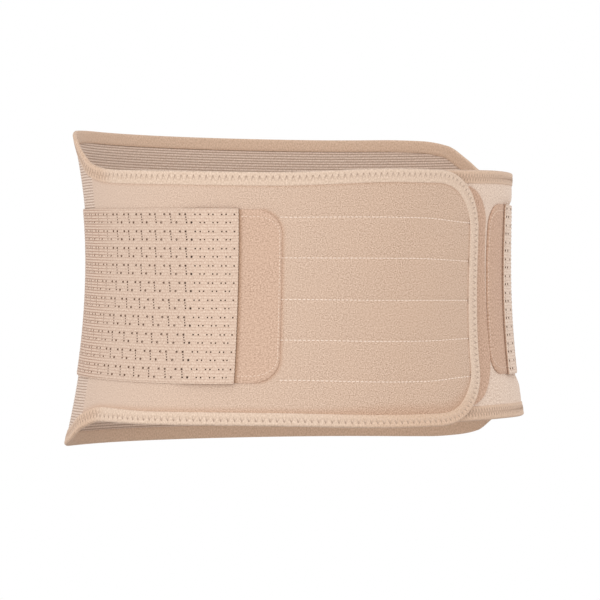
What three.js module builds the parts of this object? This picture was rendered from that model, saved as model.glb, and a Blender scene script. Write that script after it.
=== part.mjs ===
// Abdominal support belt, fastened round the waist as it is worn.
// One long flat pattern, bound along its whole edge, wraps a little more than once round an oval body
// form and closes on itself in front. Two elastic tension straps lie on top of it.
//
// Millimetres, +Z up. The wearer faces -Y and the wearer's left is +X. The origin is on the axis of the
// waist opening, level with the middle of the front panel.
//
// Every piece is drawn on the flat pattern and then wrapped:
//   along   runs round the belt from the centre back, positive by way of the wearer's right side to the
//           free end of the outer flap, negative by way of the left side to the end of the under flap
//   height  is the height on the body form
//   lift    is the distance out from the body form, where the middle of the back and under panels lies

import * as THREE from 'three';

// Thicknesses of the materials
const panelThickness = 3.0; // brushed loop fabric on foam
const backThickness = 2.2; // ribbed elastic
const strapThickness = 1.6; // perforated elastic
const tabThickness = 1.6; // hook tape with a brushed face
const hookThickness = 1.5; // hook tape of the front closure
const tapeThickness = 0.8; // fold-over binding tape
const seatGap = 0.3; // left between pieces that lie on each other

// Body form: an oval, narrowest at the waist line and flaring with the square of the distance from it.
// Its front half is deeper than its back half, and its left side is straighter than its right side.
const waistHeight = 30;
const waistHalfWidth = 169.6;
const upperFlare = 0.00125; // per mm
const lowerFlare = 0.00093;
const leftUpperShare = 0.15; // of the flare, on the wearer's left side
const leftLowerShare = 0.78;
const leftSwell = 2.4; // how far the left side stands out below and above the strap that presses it in
const swellMiddle = -290; // where along the belt it is furthest out
const swellLow = { from: -60, to: -71 }; // heights where it starts and where it is full
const swellHigh = { from: 75, to: 83 };
const frontDepthRatio = 0.8;
const backDepthRatio = 0.7;

// Flat pattern
const seamAlong = 226; // side seams, from the centre back
const flapReach = 81; // free end of the outer flap, past the front centre
const underReach = 90; // hidden end of the under flap, past the front centre
const tapeWidth = 10.5; // how far the binding covers the panels
const topCornerRadius = 46; // of the cloth, inside the binding
const bottomCornerRadius = 47; // along the edge
const bottomCornerRise = 41; // up the end
const flapSway = 5.5; // how far the lower part of the free end draws back
const swayTop = 50;
const swayBottom = -60;

// Upper and lower edge of the bound belt, round the whole pattern
const edgeStations = [
  { along: -559, top: 91.5, bottom: -88.5 }, // end of the under flap
  { along: -469, top: 94.8, bottom: -90.5 },
  { along: -409, top: 96.6, bottom: -90.0 },
  { along: -349, top: 98.0, bottom: -89.3 },
  { along: -250, top: 98.5, bottom: -89.5 },
  { along: -226, top: 102.5, bottom: -95.2 }, // left side seam
  { along: -207, top: 113.5, bottom: -105.0 },
  { along: -188, top: 124.6, bottom: -109.0 },
  { along: -165, top: 129.0, bottom: -111.0 },
  { along: -130, top: 130.4, bottom: -111.4 },
  { along: 0, top: 130.6, bottom: -111.5 }, // centre back
  { along: 130, top: 130.4, bottom: -111.4 },
  { along: 165, top: 129.0, bottom: -111.0 },
  { along: 188, top: 124.6, bottom: -109.0 },
  { along: 207, top: 113.0, bottom: -105.0 },
  { along: 226, top: 101.2, bottom: -95.2 }, // right side seam
  { along: 250, top: 96.2, bottom: -89.2 },
  { along: 289, top: 94.5, bottom: -90.5 },
  { along: 379, top: 92.8, bottom: -91.6 },
  { along: 469, top: 96.5, bottom: -93.8 },
  { along: 550, top: 97.0, bottom: -92.5 }, // free end of the outer flap
];

// Sewn rows along the outer flap
const rowHeights = [-58.6, -29.5, 0, 30.3, 60];
const rowGrooveWidth = 3.2;
const rowGrooveDepth = 0.55;

// The outer flap climbs from the side seam to lie over the under flap
const flapLift = 6.2;
const climbStart = 233;
const climbEnd = 360;

// Hook strip of the front closure
const hookShow = 17.3; // past the free end of the flap
const hookCover = 25; // under the flap
const hookTop = 85.5;
const hookBottom = -79;
const hookTopRadius = 33;
const hookBottomRadius = 36; // along the edge
const hookBottomRise = 44; // up the end

// Tension straps: places are distances along the belt, measured from the centre back, and slant is how
// far the front end leans, per mm of height
const strapBackWidth = 125; // where the elastic is stretched
const strapBackEnd = 54;
const strapNarrowFrom = 340; // the width falls to that of the back between these
const strapNarrowTo = 200;
const strapSettle = 16; // length over which a strap comes down off its tab
const tabCornerRadius = 18;
const straps = [
  {
    name: 'right', side: 1, width: 128,
    frontEnd: 353.3, tabFront: 382.9, tabBack: 324,
    frontMiddle: 2.4, backMiddle: 9.3, slant: 0.013,
  },
  {
    name: 'left', side: -1, width: 131.5,
    frontEnd: 337.5, tabFront: 366.9, tabBack: 312,
    frontMiddle: 8.5, backMiddle: 9.3, slant: 0.05,
  },
];

// Facets
const columnPitch = 13;
const steepFrom = 180; // the edges rise steeply here, with columns at half the pitch
const steepTo = 252;
const cornerSteps = 7;
const arcSteps = 1440;

const colours = {
  panel: { color: 0xd8bca6, roughness: 0.95 },
  elastic: { color: 0xd9bfae, roughness: 0.9 },
  tape: { color: 0xe2c8b4, roughness: 0.8 },
  hook: { color: 0xcda98c, roughness: 0.95 },
};

// Smooth curve through the rows of a table, with no overshoot between them.
function curveThrough(rows, from, to) {
  const xs = rows.map((row) => row[from]);
  const ys = rows.map((row) => row[to]);
  const rises = xs.slice(1).map((x, i) => (ys[i + 1] - ys[i]) / (x - xs[i]));
  const slopes = xs.map((_, i) => {
    if (i === 0) return rises[0];
    if (i === xs.length - 1) return rises[i - 1];
    const [before, after] = [rises[i - 1], rises[i]];
    return before * after <= 0 ? 0 : (2 * before * after) / (before + after);
  });
  return (x) => {
    let i = 0;
    while (i < xs.length - 2 && x > xs[i + 1]) i++;
    const span = xs[i + 1] - xs[i];
    const s = THREE.MathUtils.clamp((x - xs[i]) / span, 0, 1);
    const [s2, s3] = [s * s, s * s * s];
    return (
      (2 * s3 - 3 * s2 + 1) * ys[i] + (s3 - 2 * s2 + s) * span * slopes[i] +
      (3 * s2 - 2 * s3) * ys[i + 1] + (s3 - s2) * span * slopes[i + 1]
    );
  };
}

const topAt = curveThrough(edgeStations, 'along', 'top');
const bottomAt = curveThrough(edgeStations, 'along', 'bottom');
const { lerp, smoothstep } = THREE.MathUtils;

function halfWidthAt(angle, height) {
  const rise = height - waistHeight;
  const left = smoothstep(-Math.sin(angle), 0.45, 0.88);
  const share = lerp(1, rise > 0 ? leftUpperShare : leftLowerShare, left);
  const below = smoothstep(-height, -swellLow.from, -swellLow.to);
  const above = smoothstep(height, swellHigh.from, swellHigh.to);
  const swell = leftSwell * left * smoothstep(-Math.cos(angle), 0.02, 0.3) * (below + above);
  return waistHalfWidth + (rise > 0 ? upperFlare : lowerFlare) * share * rise * rise + swell;
}

// Point of the body form at an angle from the centre back and a height.
function formPoint(angle, height) {
  const halfWidth = halfWidthAt(angle, height);
  const ratio = Math.cos(angle) > 0 ? backDepthRatio : frontDepthRatio;
  const x = -halfWidth * Math.sin(angle);
  const y = ratio * halfWidth * Math.cos(angle);
  return new THREE.Vector3(x, y, height);
}

// Outward direction of the form there, worked out from two small steps on it.
function formNormal(angle, height) {
  const step = 1e-3;
  const round = formPoint(angle + step, height).sub(formPoint(angle - step, height));
  const up = formPoint(angle, height + step).sub(formPoint(angle, height - step));
  return round.cross(up).normalize();
}

// Running length round the waist line from the centre back.
const arcLengths = [0];
for (let i = 1; i <= arcSteps; i++) {
  const from = formPoint((2 * Math.PI * (i - 1)) / arcSteps, waistHeight);
  const to = formPoint((2 * Math.PI * i) / arcSteps, waistHeight);
  arcLengths.push(arcLengths[i - 1] + from.distanceTo(to));
}
const girth = arcLengths[arcSteps];
const frontCentre = girth / 2;

function angleAt(along) {
  const turns = Math.floor(along / girth);
  const rest = along - turns * girth;
  let i = 0;
  while (i < arcSteps - 1 && arcLengths[i + 1] < rest) i++;
  const share = (rest - arcLengths[i]) / (arcLengths[i + 1] - arcLengths[i]);
  return 2 * Math.PI * (turns + (i + share) / arcSteps);
}

function wrap(along, height, lift) {
  const angle = angleAt(along);
  return formPoint(angle, height).addScaledVector(formNormal(angle, height), lift);
}

// Climb of the belt off the form: the outer flap passes over the under flap.
const climbAt = (along) => flapLift * smoothstep(along, climbStart, climbEnd);

// Half thickness of what the binding folds over: the panels, thinning to the back past the seams.
const seamFade = 16;
function boundHalfThickness(along) {
  const fade = smoothstep(seamAlong - Math.abs(along), 1, seamFade);
  return lerp(panelThickness, backThickness, fade) / 2;
}

// How far a round corner cuts in at a distance from the end of a piece. It is as tall as it is long, or
// an oval quarter with a rise of its own.
function cornerDrop(radius, distance, rise = radius) {
  if (distance >= radius) return 0;
  return rise * (1 - Math.sqrt(1 - (1 - distance / radius) ** 2));
}

// Columns from one end to the other, on a pitch common to all the pieces, close together in the round
// corners. The two sides of each seam are columns too.
const seamSides = [-1, 1].flatMap((side) =>
  [-1, 1].map((edge) => side * seamAlong + (edge * seatGap) / 2),
);
function columns(from, to, fromRadius = 0, toRadius = 0) {
  const list = [from, to];
  const low = from + Math.max(fromRadius, columnPitch / 4);
  const high = to - Math.max(toRadius, columnPitch / 4);
  for (let k = Math.ceil((2 * low) / columnPitch); (k * columnPitch) / 2 <= high; k++) {
    const along = (k * columnPitch) / 2;
    const steep = Math.abs(along) > steepFrom && Math.abs(along) < steepTo;
    if (steep || k % 2 === 0) list.push(along);
  }
  list.push(...seamSides.filter((along) => along > low && along < high));
  for (let k = 0; k < cornerSteps; k++) {
    const cut = 1 - Math.sin((Math.PI / 2) * (k / cornerSteps));
    if (fromRadius) list.push(from + fromRadius * cut);
    if (toRadius) list.push(to - toRadius * cut);
  }
  return list.sort((a, b) => a - b);
}

function closedGeometry(points, faces) {
  const positions = new Float32Array(points.flatMap((p) => [p.x, p.y, p.z]));
  const geometry = new THREE.BufferGeometry();
  geometry.setAttribute('position', new THREE.BufferAttribute(positions, 3));
  geometry.setIndex(faces);
  geometry.computeVertexNormals();
  return geometry;
}

// Closed wall on the form. rowsAt gives the heights of a column's rows from the bottom up, and innerAt
// and outerAt the lift of its two faces, column by column and row by row. shiftAt moves a point along.
function wallGeometry(alongs, rowsAt, innerAt, outerAt, shiftAt = () => 0) {
  const points = [];
  const place = (along, height, row, liftAt) => {
    const at = along + shiftAt(along, height);
    return points.push(wrap(at, height, liftAt(at, row))) - 1;
  };
  const grids = [outerAt, innerAt].map((liftAt) =>
    alongs.map((along) => rowsAt(along).map((height, row) => place(along, height, row, liftAt))),
  );
  const faces = [];
  const quad = (a, b, c, d) => faces.push(a, b, c, a, c, d);
  const [outer, inner] = grids;
  const lastColumn = alongs.length - 1;
  const lastRow = outer[0].length - 1;
  for (let i = 0; i < lastColumn; i++) {
    for (let j = 0; j < lastRow; j++) {
      quad(outer[i][j], outer[i + 1][j], outer[i + 1][j + 1], outer[i][j + 1]);
      quad(inner[i][j], inner[i][j + 1], inner[i + 1][j + 1], inner[i + 1][j]);
    }
    quad(outer[i][0], inner[i][0], inner[i + 1][0], outer[i + 1][0]);
    quad(outer[i][lastRow], outer[i + 1][lastRow], inner[i + 1][lastRow], inner[i][lastRow]);
  }
  for (let j = 0; j < lastRow; j++) {
    quad(outer[0][j], outer[0][j + 1], inner[0][j + 1], inner[0][j]);
    quad(outer[lastColumn][j], inner[lastColumn][j], inner[lastColumn][j + 1], outer[lastColumn][j + 1]);
  }
  return closedGeometry(points, faces);
}

function mesh(name, geometry, finish) {
  const material = new THREE.MeshStandardMaterial({ ...colours[finish], metalness: 0 });
  const made = new THREE.Mesh(geometry, material);
  made.name = name;
  return made;
}

// Rows spread evenly between two heights.
function evenRows(low, high, count) {
  return Array.from({ length: count + 1 }, (_, j) => lerp(low, high, j / count));
}

// Outline of the cloth, which stops inside the fold of the binding.
const edgeInset = tapeThickness + seatGap;
const clothStart = -frontCentre - underReach + edgeInset;
const clothEnd = frontCentre + flapReach - edgeInset;
const fromClothEnd = (along) => Math.min(along - clothStart, clothEnd - along);
function clothTopAt(along) {
  return topAt(along) - edgeInset - cornerDrop(topCornerRadius, fromClothEnd(along));
}
function clothBottomAt(along) {
  const drop = cornerDrop(bottomCornerRadius, fromClothEnd(along), bottomCornerRise);
  return bottomAt(along) + edgeInset + drop;
}

// The free end of the outer flap draws back towards the bottom.
function swayAt(along, height) {
  const down = 1 - smoothstep(height, swayBottom, swayTop);
  return -flapSway * down * smoothstep(along, frontCentre, clothEnd);
}

// Rows of a panel: one under each leg of the binding, the others spread evenly between them.
const tapeReach = tapeWidth - edgeInset;
function clothRows(along, count) {
  const low = clothBottomAt(along);
  const high = clothTopAt(along);
  return [low, ...evenRows(low + tapeReach, high - tapeReach, count), high];
}

// Outer flap: the sewn rows keep their share of the height, so they close up towards the round end.
function frontPanel() {
  const low = clothBottomAt(frontCentre);
  const high = clothTopAt(frontCentre);
  const covered = tapeReach / (high - low);
  const rows = [{ share: 0, groove: 0 }, { share: covered, groove: 0 }];
  for (const middle of rowHeights) {
    for (const side of [-1, 0, 1]) {
      const height = middle + (side * rowGrooveWidth) / 2;
      rows.push({ share: (height - low) / (high - low), groove: side ? 0 : rowGrooveDepth });
    }
  }
  rows.push({ share: 1 - covered, groove: 0 }, { share: 1, groove: 0 });
  const rowsAt = (along) => rows.map((row) => lerp(clothBottomAt(along), clothTopAt(along), row.share));
  const geometry = wallGeometry(
    columns(seamAlong + seatGap / 2, clothEnd, 0, bottomCornerRadius),
    rowsAt,
    (along) => climbAt(along) - panelThickness / 2,
    (along, row) => climbAt(along) + panelThickness / 2 - rows[row].groove,
    swayAt,
  );
  return mesh('front_panel', geometry, 'panel');
}

// Under flap: two of its rows lie where the swell of the left side starts.
function underPanel() {
  const low = clothBottomAt(swellMiddle);
  const high = clothTopAt(swellMiddle);
  const covered = tapeReach / (high - low);
  const between = evenRows(swellLow.from, swellHigh.from, 6).map((height) => (height - low) / (high - low));
  const shares = [0, covered, ...between, 1 - covered, 1];
  const geometry = wallGeometry(
    columns(clothStart, -seamAlong - seatGap / 2, bottomCornerRadius, 0),
    (along) => shares.map((share) => lerp(clothBottomAt(along), clothTopAt(along), share)),
    () => -panelThickness / 2,
    () => panelThickness / 2,
  );
  return mesh('under_panel', geometry, 'panel');
}

function backPanel() {
  const geometry = wallGeometry(
    columns(-seamAlong + seatGap / 2, seamAlong - seatGap / 2),
    (along) => clothRows(along, 8),
    () => -backThickness / 2,
    () => backThickness / 2,
  );
  return mesh('back_panel', geometry, 'elastic');
}

// Outline of the whole cloth: along the top from the under flap to the outer flap, down its free end, back
// along the bottom and up the end of the under flap.
function clothOutline() {
  const across = columns(clothStart, clothEnd, bottomCornerRadius, bottomCornerRadius);
  const top = across.map((along) => new THREE.Vector2(along, clothTopAt(along)));
  const bottom = across.map((along) => new THREE.Vector2(along, clothBottomAt(along))).reverse();
  const endSteps = 6;
  const between = (from, to) =>
    evenRows(from.y, to.y, endSteps).slice(1, -1).map((height) => new THREE.Vector2(from.x, height));
  const outline = [...top, ...between(top.at(-1), bottom[0]), ...bottom, ...between(bottom.at(-1), top[0])];
  for (const point of outline) point.x += swayAt(point.x, point.y);
  return outline;
}

// Binding tape: a C-shaped fold carried round the outline. In its section, x runs in from the edge of the
// cloth and y runs across its thickness.
function edgeBinding() {
  const outline = clothOutline();
  const count = outline.length;
  const points = [];
  const rings = outline.map((here, k) => {
    const run = outline[(k + 1) % count].clone().sub(outline[(k + count - 1) % count]).normalize();
    const inwards = new THREE.Vector2(run.y, -run.x);
    const inside = boundHalfThickness(here.x) + seatGap;
    const outside = inside + tapeThickness;
    const section = [
      [tapeReach, outside], [-edgeInset, outside], [-edgeInset, -outside], [tapeReach, -outside],
      [tapeReach, -inside], [-seatGap, -inside], [-seatGap, inside], [tapeReach, inside],
    ];
    return section.map(([x, y]) => {
      const at = here.clone().addScaledVector(inwards, x);
      return points.push(wrap(at.x, at.y, climbAt(at.x) + y)) - 1;
    });
  });
  const faces = [];
  rings.forEach((ring, k) => {
    const next = rings[(k + 1) % count];
    ring.forEach((a, m) => {
      const after = (m + 1) % ring.length;
      faces.push(a, next[m], next[after], a, next[after], ring[after]);
    });
  });
  return mesh('edge_binding', closedGeometry(points, faces), 'tape');
}

// Hook strip of the closure: on the under flap, partly under the free end of the outer flap.
function closureHook() {
  const start = frontCentre + flapReach - hookCover;
  const end = frontCentre + flapReach + hookShow;
  const inner = panelThickness / 2 + seatGap;
  const lowAt = (along) => hookBottom + cornerDrop(hookBottomRadius, end - along, hookBottomRise);
  const highAt = (along) => hookTop - cornerDrop(hookTopRadius, end - along);
  const geometry = wallGeometry(
    columns(start, end, 0, end - start),
    (along) => evenRows(lowAt(along), highAt(along), 6),
    () => inner,
    () => inner + hookThickness,
  );
  return mesh('closure_hook', geometry, 'hook');
}

// Lift of the outer face of the belt under a tension strap: front panels, then the thinner back.
function beltFaceAt(along) {
  return climbAt(along) + boundHalfThickness(along);
}

// Heights of a strap's lower and upper edge: it slants a little on its way forward.
function strapEdges(strap, along) {
  const share = smoothstep(Math.abs(along), strapBackEnd, strap.frontEnd);
  const middle = lerp(strap.backMiddle, strap.frontMiddle, share);
  const slack = smoothstep(Math.abs(along), strapNarrowTo, strapNarrowFrom);
  const half = lerp(strapBackWidth, strap.width, slack) / 2;
  return [middle - half, middle + half];
}

function strapLean(strap, along, height) {
  return strap.slant * smoothstep(Math.abs(along), seamAlong, strap.tabBack) * height;
}

function strapColumns(strap, near, far, farRadius) {
  if (strap.side > 0) return columns(near, far, 0, farRadius);
  return columns(-far, -near, farRadius, 0);
}

function tab(strap) {
  const tuck = 1; // the tab's edges lie just inside the strap's
  const inner = (along) => beltFaceAt(along) + seatGap;
  const rowsAt = (along) => {
    const [low, high] = strapEdges(strap, along);
    const drop = cornerDrop(tabCornerRadius, strap.tabFront - Math.abs(along));
    return evenRows(low + tuck + drop, high - tuck - drop, 5);
  };
  const geometry = wallGeometry(
    strapColumns(strap, strap.tabBack, strap.tabFront, tabCornerRadius),
    rowsAt,
    inner,
    (along) => inner(along) + tabThickness,
    (along, height) => strapLean(strap, along, height),
  );
  return mesh(`${strap.name}_tab`, geometry, 'hook');
}

function tensionStrap(strap) {
  const onTab = tabThickness + seatGap;
  const settled = strap.tabBack - strapSettle;
  const clear = strap.tabBack - (strap.slant * strap.width) / 2 - 1;
  const inner = (along) => beltFaceAt(along) + seatGap + onTab * smoothstep(Math.abs(along), settled, clear);
  const geometry = wallGeometry(
    strapColumns(strap, strapBackEnd, strap.frontEnd, 0),
    (along) => evenRows(...strapEdges(strap, along), 5),
    inner,
    (along) => inner(along) + strapThickness,
    (along, height) => strapLean(strap, along, height),
  );
  return mesh(`${strap.name}_strap`, geometry, 'elastic');
}

const belt = new THREE.Group();
belt.name = 'support_belt';
belt.add(frontPanel(), underPanel(), backPanel(), edgeBinding(), closureHook());
for (const strap of straps) belt.add(tab(strap), tensionStrap(strap));

export default belt;
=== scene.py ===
import math

import bpy
import numpy as np
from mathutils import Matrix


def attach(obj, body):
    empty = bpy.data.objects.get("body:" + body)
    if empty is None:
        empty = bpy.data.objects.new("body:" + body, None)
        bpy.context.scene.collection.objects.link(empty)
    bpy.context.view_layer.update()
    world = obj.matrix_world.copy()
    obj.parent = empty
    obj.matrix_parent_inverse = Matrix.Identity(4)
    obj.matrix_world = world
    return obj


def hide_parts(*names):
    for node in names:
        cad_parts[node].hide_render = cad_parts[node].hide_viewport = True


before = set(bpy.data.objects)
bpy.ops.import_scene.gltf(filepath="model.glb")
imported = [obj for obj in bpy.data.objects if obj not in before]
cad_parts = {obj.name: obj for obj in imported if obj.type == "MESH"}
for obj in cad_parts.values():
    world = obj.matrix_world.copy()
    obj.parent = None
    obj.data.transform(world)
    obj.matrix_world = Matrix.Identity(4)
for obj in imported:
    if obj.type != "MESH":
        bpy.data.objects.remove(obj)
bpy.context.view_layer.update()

scene = bpy.context.scene
scene.view_settings.view_transform = "Standard"
mm = 0.001

# level camera, turned to one side of the front, far away with a long lens
camera = {"azimuth": -30, "distance": 2.3, "pixelSize": 0.00077, "pixels": 600, "axisPixel": 298.2,
          "sensor": 36, "farClip": 50}
turn = math.radians(camera["azimuth"])
bpy.ops.object.camera_add(
    location=(math.sin(turn) * camera["distance"], -math.cos(turn) * camera["distance"], 0),
    rotation=(math.pi / 2, 0, turn))
scene.camera = bpy.context.object
scene.camera.data.lens = camera["sensor"] * camera["distance"] / (camera["pixelSize"] * camera["pixels"])
scene.camera.data.shift_x = (camera["pixels"] / 2 - camera["axisPixel"]) / camera["pixels"]
scene.camera.data.clip_end = camera["farClip"]
print("camera placed")

# the oval form and the flat pattern that wraps it, in mm: along from the centre back, and height
belt = {
    "waistHeight": 30, "waistHalfWidth": 169.6, "upperFlare": 0.00125, "lowerFlare": 0.00093,
    "leftTurn": (0.45, 0.88), "leftUpper": 0.15, "leftLower": 0.78, "frontDepth": 0.8, "backDepth": 0.7,
    "leftSwell": 2.4, "swellTurn": (0.02, 0.3), "swellLow": (56, 67), "swellHigh": (71, 79),
    "seam": 226, "seamGap": 0.15, "flapReach": 81, "underReach": 90, "flapHeight": 184,
    "topCorner": 46, "bottomCorner": 47, "bottomRise": 41, "flapSway": 5.5, "swayTop": 50, "swayBottom": -60,
    "panel": 3.0, "back": 2.2, "thinning": (1, 16), "edgeInset": 1.1, "edgePinch": 0.35, "pinchFade": (5, 15),
    "strapPress": 0.6, "pressFrom": (186, 236), "pressEdge": 3,
    "flapLift": 6.2, "climbStart": 233, "climbEnd": 360,
}
edgeStations = np.array([  # along, top, bottom
    (-559, 91.5, -88.5), (-469, 94.8, -90.5), (-409, 96.6, -90.0), (-349, 98.0, -89.3),
    (-250, 98.5, -89.5), (-226, 102.5, -95.2), (-207, 113.5, -105.0), (-188, 124.6, -109.0),
    (-165, 129.0, -111.0), (-130, 130.4, -111.4), (0, 130.6, -111.5), (130, 130.4, -111.4),
    (165, 129.0, -111.0), (188, 124.6, -109.0), (207, 113.0, -105.0), (226, 101.2, -95.2),
    (250, 96.2, -89.2), (289, 94.5, -90.5), (379, 92.8, -91.6), (469, 96.5, -93.8), (550, 97.0, -92.5),
])


def ease(x, low, high):
    t = np.clip((np.asarray(x, float) - low) / (high - low), 0, 1)
    return t * t * (3 - 2 * t)


# a curve through the stations that never swings past them
def smoothCurve(xs, ys):
    rise = np.diff(ys) / np.diff(xs)
    before, after = rise[:-1], rise[1:]
    same = before * after > 0
    bend = np.where(same, 2 * before * after / np.where(same, before + after, 1), 0)
    slope = np.concatenate([rise[:1], bend, rise[-1:]])

    def curve(x):
        i = np.clip(np.searchsorted(xs, x) - 1, 0, len(xs) - 2)
        span = xs[i + 1] - xs[i]
        s = np.clip((x - xs[i]) / span, 0, 1)
        start = (1 + 2 * s) * (1 - s) ** 2 * ys[i] + s * (1 - s) ** 2 * span * slope[i]
        return start + s * s * (3 - 2 * s) * ys[i + 1] + s * s * (s - 1) * span * slope[i + 1]
    return curve


topEdge = smoothCurve(edgeStations[:, 0], edgeStations[:, 1])
bottomEdge = smoothCurve(edgeStations[:, 0], edgeStations[:, 2])


def runAlong(points):
    return np.concatenate([[0], np.cumsum(np.linalg.norm(np.diff(points, axis=0), axis=1))])


def pickAt(at, run, table):
    return np.stack([np.interp(at, run, table[:, k]) for k in range(table.shape[1])], 1)


# the left side is straighter, and stands out a little below and above its strap
def halfAt(angle, height):
    rise = height - belt["waistHeight"]
    left = ease(-np.sin(angle), *belt["leftTurn"])
    upper = belt["upperFlare"] * (1 + (belt["leftUpper"] - 1) * left)
    lower = belt["lowerFlare"] * (1 + (belt["leftLower"] - 1) * left)
    beside = ease(-height, *belt["swellLow"]) + ease(height, *belt["swellHigh"])
    swell = belt["leftSwell"] * left * ease(-np.cos(angle), *belt["swellTurn"]) * beside
    return belt["waistHalfWidth"] + np.where(rise > 0, upper, lower) * rise ** 2 + swell


def formPoint(angle, height):
    half = halfAt(angle, height)
    depth = np.where(np.cos(angle) > 0, belt["backDepth"], belt["frontDepth"])
    point = np.stack([-half * np.sin(angle), depth * half * np.cos(angle), height + 0 * angle], -1)
    return point, half, depth


arcAngles = np.linspace(0, 2 * math.pi, 1441)
waistLine = formPoint(arcAngles, belt["waistHeight"] + 0 * arcAngles)[0]
arcLengths = runAlong(waistLine)
girth = arcLengths[-1]
frontCentre = girth / 2


# from the flat pattern to the form, in metres
def wrap(along, height, lift):
    angle = np.interp(np.mod(along, girth), arcLengths, arcAngles)
    point, half, depth = formPoint(angle, height)
    slope = halfAt(angle, height + 0.5) - halfAt(angle, height - 0.5)
    out = np.stack([point[:, 0] / half ** 2, point[:, 1] / (depth * half) ** 2, -slope / half], -1)
    out /= np.linalg.norm(out, axis=1, keepdims=True)
    return (point + out * np.reshape(lift, (-1, 1))) * mm


# the outer flap climbs over the under flap
def climb(along):
    return belt["flapLift"] * ease(along, belt["climbStart"], belt["climbEnd"])


# half the thickness of the cloth that the tape binds
def boundHalf(along):
    fade = ease(belt["seam"] - np.abs(along), *belt["thinning"])
    return (belt["panel"] + (belt["back"] - belt["panel"]) * fade) / 2


def cornerDrop(radius, distance, rise=None):
    rest = np.clip(1 - distance / radius, 0, 1)
    return (rise or radius) * (1 - np.sqrt(1 - rest ** 2))


clothStart = -frontCentre - belt["underReach"] + belt["edgeInset"]
clothEnd = frontCentre + belt["flapReach"] - belt["edgeInset"]


def toEnds(along):
    return np.minimum(along - clothStart, clothEnd - along)


def clothTop(along):
    return topEdge(along) - belt["edgeInset"] - cornerDrop(belt["topCorner"], toEnds(along))


def clothBottom(along):
    drop = cornerDrop(belt["bottomCorner"], toEnds(along), belt["bottomRise"])
    return bottomEdge(along) + belt["edgeInset"] + drop


def clothOutline(along, share):
    return along, clothBottom(along) + share * (clothTop(along) - clothBottom(along))


def toRim(along, height):
    return np.minimum(height - clothBottom(along), clothTop(along) - height)


# the free end of the outer flap draws back towards the bottom
def sway(along, height):
    down = 1 - ease(height, belt["swayBottom"], belt["swayTop"])
    return -belt["flapSway"] * down * ease(along, frontCentre, clothEnd)


# how far the binding pinches the panels
def pinch(along, height):
    toEdge = np.minimum(toRim(along, height), toEnds(along))
    return 2 * belt["edgePinch"] * (1 - ease(toEdge, *belt["pinchFade"]))


# straps: marks are the places of the first units of holes, pulled is the share of the pull that leans them
straps = {
    "right": {
        "side": 1, "frontWidth": 128, "frontEnd": 353.3, "tabFront": 382.9, "tabBack": 324,
        "frontMiddle": 2.4, "slant": 0.013, "pulled": 1, "marks": (345, 336, 327, 316.2), "dotsFrom": 324,
        # border and end: darker tones on the long edges and the front end, painted shade; on this strap
        # darker still, a painted shadow along its front end
        "yarn": "e0c9b6", "border": ("755641", "9f7f68", "8b6c56"), "end": ("4f3626", "73553f", "624733"),
    },
    "left": {
        "side": -1, "frontWidth": 131.5, "frontEnd": 337.5, "tabFront": 366.9, "tabBack": 312,
        "frontMiddle": 8.5, "slant": 0.05, "pulled": 0, "marks": (335.2, 313.3), "dotsFrom": 340,
        # its yarn is paler than the right strap's: painted light, to lift it out of the shade it lies in
        "yarn": "efdac8", "border": ("a5856f", "cdb19c", "bb9d88"), "end": ("a5856f", "cdb19c", "bb9d88"),
    },
}
strapCut = {
    "width": 128, "backWidth": 125, "slack": (200, 340), "backEnd": 54, "backMiddle": 9.3,
    "thickness": 1.4, "hem": 0.5, "settle": 16, "seat": 0.1,
    "rib": 2.1, "ribDepth": 0.32, "frontRib": 0.1, "ribFade": (225, 262), "ribPhase": 0.548,
    "furrow": "a27d69", "edgeRound": (0.45, 0.5), "ragged": (0.15, 2.8, 0.8), "hemOver": (-5, 2),
    "groups": 10, "groupRibs": 6, "firstHole": 4.2, "unit": 11.5, "lastUnit": 14, "drawnTo": 250,
    "lowerRow": 6, "dotRows": (2, 4), "meshRows": (0, 1.05, 2, 3, 4, 5, 6, 7.2, 8.4, 9.45, 10.5, 11.55),
    "holeRound": 0.08, "longHoles": 2,
    "lowerLean": 0.85, "pairSpread": 0.27, "upperLean": 0.6, "leanFade": 4,
    "topSpread": 0.04, "lowSpread": 0.1, "spreadOver": 80, "spreadEnd": 240, "sag": 1.35, "sagFade": 14,
    "stitch": {"pitch": 3.0, "gap": 0.8, "radius": 0.22, "proud": 0.05, "inset": 2,
               "fromFront": 5, "fromBack": (3, 9)},
}
holeSizes = {  # radius in mm, in the order they are cut
    "hole": 0.82, "lowerHole": 0.87, "smallHole": 0.66, "drawnHole": 0.68,
    "drawnSmall": 0.5, "sewnHole": 0.58, "dot": 0.5, "drawnDot": 0.36,
}
tabCut = {
    "corner": 18, "inset": 1, "thickness": 1.5, "columnStep": 1.5, "rows": 96,
    "edgeRound": (0.5, 0.6), "shade": 3.1,
    "stitch": {"pitch": 2.7, "gap": 0.7, "radius": 0.3, "proud": 0.08, "insetFront": 1.5, "insetSide": 4.8},
}


# how far the straps sink into what is under them
def strapPress(along):
    return belt["strapPress"] * ease(np.abs(along), *belt["pressFrom"])


def strapMiddle(strap, along):
    run = ease(np.abs(along), strapCut["backEnd"], strap["frontEnd"])
    return strapCut["backMiddle"] + (strap["frontMiddle"] - strapCut["backMiddle"]) * run


# the elastic is narrower where it is stretched
def strapScale(strap, along):
    slack = ease(np.abs(along), *strapCut["slack"])
    return (strapCut["backWidth"] + (strap["frontWidth"] - strapCut["backWidth"]) * slack) / strapCut["width"]


def pressed(along, height):
    total = 0 * along
    edge = belt["pressEdge"]
    for strap in straps.values():
        run = strap["side"] * along
        offset = (height - strapMiddle(strap, along)) / strapScale(strap, along) + strapCut["width"] / 2
        inSide = ease(np.minimum(offset, strapCut["width"] - offset), -edge, edge)
        inFront = ease(strap["tabFront"] - run, -edge, edge)
        inBack = ease(run, strapCut["backEnd"] - edge, strapCut["backEnd"] + edge)
        total = np.maximum(total, strapPress(along) * inSide * (inFront * inBack))
    return total


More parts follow.
